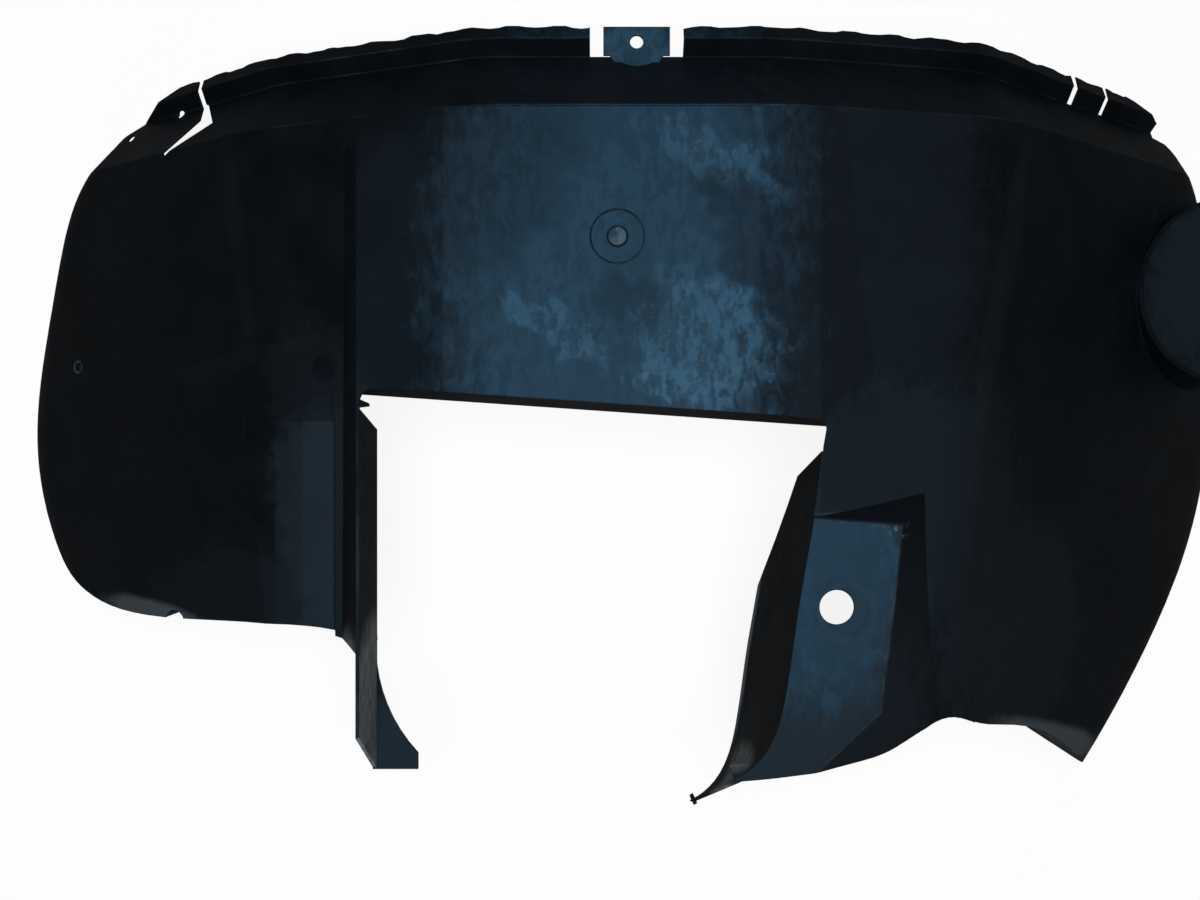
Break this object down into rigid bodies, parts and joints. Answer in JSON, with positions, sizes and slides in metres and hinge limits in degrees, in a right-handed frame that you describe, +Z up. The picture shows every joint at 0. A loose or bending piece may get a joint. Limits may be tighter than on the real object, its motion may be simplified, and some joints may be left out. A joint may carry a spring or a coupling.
{
  "type": "wheel arch liner",
  "caption": "Moulded black plastic wheel arch liner: an arched shell with a turned outer lip, fixing tab, ledge box and a flanged suspension cut-out.",
  "frame": {"origin": "Middle of the liner's box, at the height of the two feet it stands on.", "axes": "+X along the car, +Y out to the wing lip, +Z up."},
  "size_m": [0.9176, 0.4837, 0.3209],
  "materials": {
    "black_plastic": "moulded black polypropylene, scuffed and dusty on the crown"
  },
  "bodies": {
    "root": {"wheel_arch_liner": "black_plastic"}
  },
  "joints": []
}
